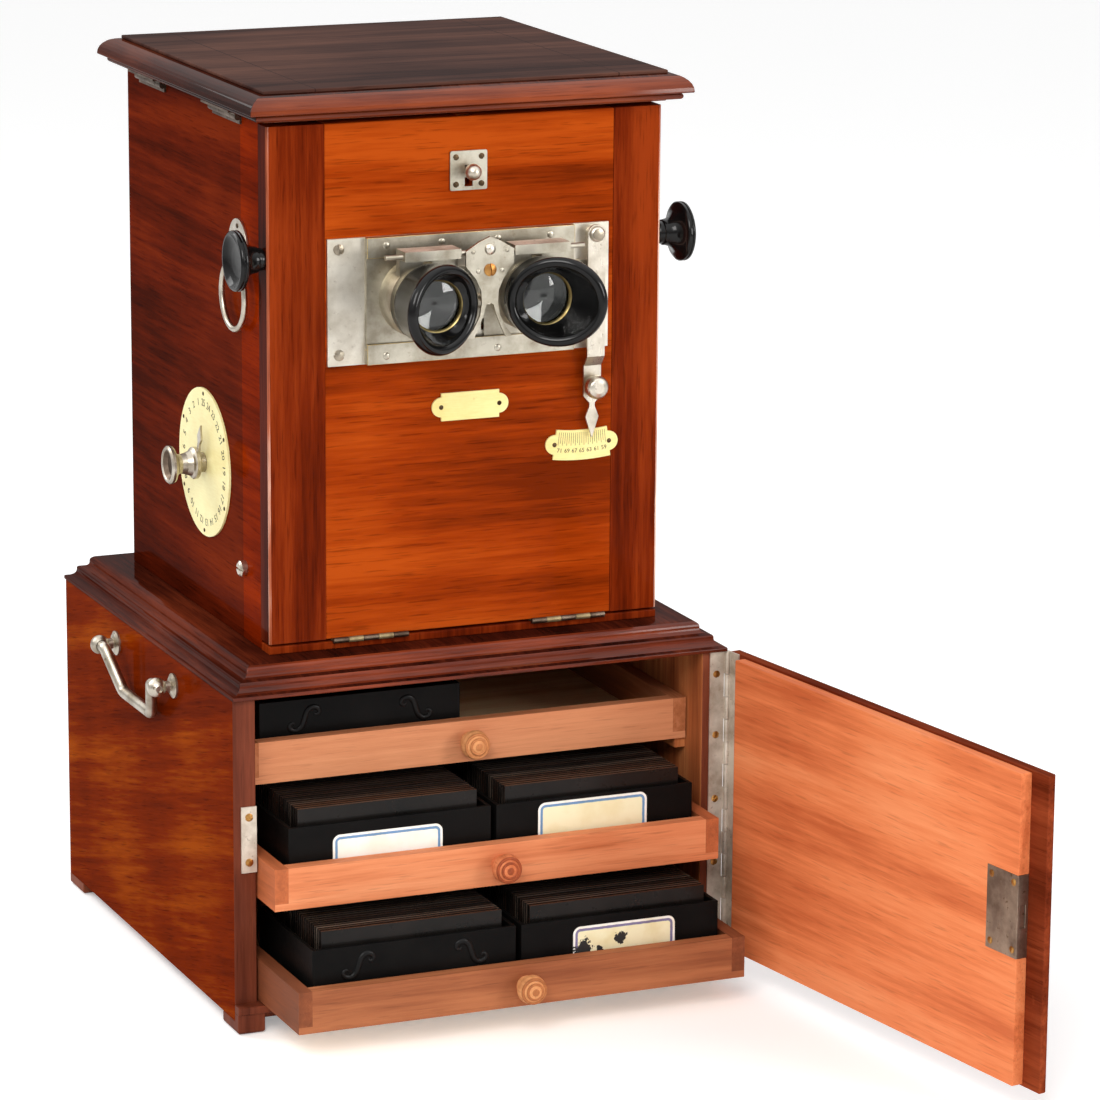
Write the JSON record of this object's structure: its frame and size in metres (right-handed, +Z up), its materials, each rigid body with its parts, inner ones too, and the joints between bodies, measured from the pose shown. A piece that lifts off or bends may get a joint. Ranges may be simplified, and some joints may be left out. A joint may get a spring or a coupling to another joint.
{
  "type": "tabletop stereo slide viewer",
  "caption": "Wooden tabletop stereo slide viewer with paired eyepieces on a drop front, moulded lid, slide dial, and a cabinet of tray drawers behind a side-hung door.",
  "frame": {"origin": "on the floor under the middle of the lower cabinet", "axes": "+X to the viewer's right when facing the eyepieces, +Y to the back, +Z up"},
  "size_m": [0.3677, 0.5979, 0.5235],
  "materials": {
    "mahogany": "French polish",
    "cedar": "unpolished",
    "nickel": "worn nickel plate on brass",
    "ground_glass": "ground",
    "optical_glass": "polished",
    "slide_glass": "polished plates with dark binding",
    "ebonite": "polished hard rubber",
    "black_lacquer": "pressed and lacquered",
    "ivory": "aged ivory colour"
  },
  "bodies": {
    "base": {"lower_sides": "mahogany", "lower_back": "mahogany", "lower_floor": "mahogany", "drawer_runners": "cedar", "feet": "mahogany", "base_moulding": "mahogany", "case_sides": "mahogany", "case_back": "mahogany", "case_sill": "mahogany", "screen_glass": "ground_glass", "viewing_frame": "black_lacquer", "dial_plate": "ivory", "ring_plate": "nickel", "handle_posts": "nickel", "stile_fittings": "nickel", "case_hinge_leaves": "nickel", "guide_stud": "nickel"},
    "lid": {"lid_moulding": "mahogany", "lid_panel": "mahogany", "lid_hinge_leaves": "nickel"},
    "drop_front": {"front_panel": "mahogany", "front_cramps": "mahogany", "drop_hinge_leaves": "nickel", "catch_plate": "nickel", "lens_plate": "nickel", "guide_rails": "nickel", "ivory_plates": "ivory", "bridge_plate": "nickel"},
    "catch": {"catch_bolt": "nickel"},
    "focus_drive": {"focus_shaft": "nickel", "focus_knobs": "ebonite"},
    "left_carriage": {"carriage_left": "nickel"},
    "right_carriage": {"carriage_right": "nickel"},
    "left_eyepiece": {"lens_tube_left": "nickel", "eye_lens_left": "optical_glass", "eyecup_left": "ebonite"},
    "right_eyepiece": {"lens_tube_right": "nickel", "eye_lens_right": "optical_glass", "eyecup_right": "ebonite"},
    "cross_rocker": {"rocker": "nickel"},
    "lever": {"pupil_lever": "nickel"},
    "cabinet_door": {"door_lip": "mahogany", "door_inset": "cedar", "door_hinge_leaf": "nickel", "lock_case": "nickel"},
    "door_bolt": {"lock_bolt": "nickel"},
    "top_drawer": {"drawer_top": "cedar", "trays_top": "black_lacquer"},
    "middle_drawer": {"drawer_middle": "cedar", "trays_middle": "black_lacquer", "slides_middle": "slide_glass"},
    "bottom_drawer": {"drawer_bottom": "cedar", "trays_bottom": "black_lacquer", "slides_bottom": "slide_glass"},
    "drop_ring": {"pull_ring": "nickel"},
    "left_bail": {"bail_left": "nickel"},
    "right_bail": {"bail_right": "nickel"},
    "dial": {"dial_knob": "nickel"},
    "slide_carriage": {"tray_carriage": "black_lacquer", "view_slides": "slide_glass"}
  },
  "joints": [
    {"name": "lid_hinge", "type": "hinge", "parent": "base", "child": "lid", "pos_m": [-0.1196, 0.002, 0.5036], "axis": [0, -1, 0], "range_deg": [0, 95]},
    {"name": "front_drop", "type": "hinge", "parent": "base", "child": "drop_front", "pos_m": [0, -0.1257, 0.2132], "axis": [-1, 0, 0], "range_deg": [-90, 0]},
    {"name": "catch_slide", "type": "slide", "parent": "drop_front", "child": "catch", "axis": [0, 0, 1], "range_m": [-0.006, 0]},
    {"name": "focus_turn", "type": "hinge", "parent": "drop_front", "child": "focus_drive", "pos_m": [0, -0.11725, 0.43], "axis": [1, 0, 0], "range_deg": [-100, 100]},
    {"name": "lever_turn", "type": "hinge", "parent": "drop_front", "child": "lever", "pos_m": [0.0745, -0.13, 0.4346], "axis": [0, 1, 0], "range_deg": [-9.5, 9.5]},
    {"name": "left_carriage_slide", "type": "slide", "parent": "drop_front", "child": "left_carriage", "axis": [1, 0, 0], "range_m": [-0.00345, 0.00345]},
    {"name": "right_carriage_slide", "type": "slide", "parent": "drop_front", "child": "right_carriage", "axis": [1, 0, 0], "range_m": [-0.0037, 0.0037]},
    {"name": "left_focus_slide", "type": "slide", "parent": "left_carriage", "child": "left_eyepiece", "axis": [0, 1, 0], "range_m": [-0.00497, 0.00497]},
    {"name": "right_focus_slide", "type": "slide", "parent": "right_carriage", "child": "right_eyepiece", "axis": [0, 1, 0], "range_m": [-0.0053, 0.0053]},
    {"name": "rocker_turn", "type": "hinge", "parent": "drop_front", "child": "cross_rocker", "pos_m": [0.0008, -0.13, 0.4055], "axis": [0, 1, 0], "range_deg": [-17.6, 17.6]},
    {"name": "cabinet_door_hinge", "type": "hinge", "parent": "base", "child": "cabinet_door", "pos_m": [0.1508, -0.151, 0.1], "axis": [0, 0, 1], "range_deg": [-16, 81]},
    {"name": "lock_bolt_slide", "type": "slide", "parent": "cabinet_door", "child": "door_bolt", "axis": [0.1513, -0.9885, 0], "range_m": [0, 0.005]},
    {"name": "top_drawer_slide", "type": "slide", "parent": "base", "child": "top_drawer", "axis": [0, -1, 0], "range_m": [-0.002, 0.158]},
    {"name": "middle_drawer_slide", "type": "slide", "parent": "base", "child": "middle_drawer", "axis": [0, -1, 0], "range_m": [-0.049, 0.111]},
    {"name": "bottom_drawer_slide", "type": "slide", "parent": "base", "child": "bottom_drawer", "axis": [0, -1, 0], "range_m": [-0.086, 0.074]},
    {"name": "ring_swing", "type": "hinge", "parent": "base", "child": "drop_ring", "pos_m": [-0.1216, -0.08, 0.4225], "axis": [0, 1, 0], "range_deg": [0, 90]},
    {"name": "left_bail_swing", "type": "hinge", "parent": "base", "child": "left_bail", "pos_m": [-0.1595, 0, 0.1755], "axis": [0, 1, 0], "range_deg": [0, 105]},
    {"name": "right_bail_swing", "type": "hinge", "parent": "base", "child": "right_bail", "pos_m": [0.1595, 0, 0.1755], "axis": [0, -1, 0], "range_deg": [0, 105]},
    {"name": "dial_turn", "type": "hinge", "parent": "base", "child": "dial", "pos_m": [-0.119, -0.0193, 0.2963], "axis": [1, 0, 0], "range_deg": [-155, 155]},
    {"name": "slide_carriage_run", "type": "slide", "parent": "base", "child": "slide_carriage", "axis": [0, 1, 0], "range_m": [-0.0366, 0.0366]}
  ],
  "couplings": [
    {"joint": "right_carriage_slide", "follows": "left_carriage_slide", "ratio": -1},
    {"joint": "lever_turn", "follows": "left_carriage_slide", "rad_per_m": 45.455},
    {"joint": "rocker_turn", "follows": "left_carriage_slide", "rad_per_m": 83.333},
    {"joint": "focus_turn", "follows": "left_focus_slide", "rad_per_m": 333.33},
    {"joint": "right_focus_slide", "follows": "left_focus_slide", "ratio": 1},
    {"joint": "dial_turn", "follows": "slide_carriage_run", "rad_per_m": 71.429}
  ]
}
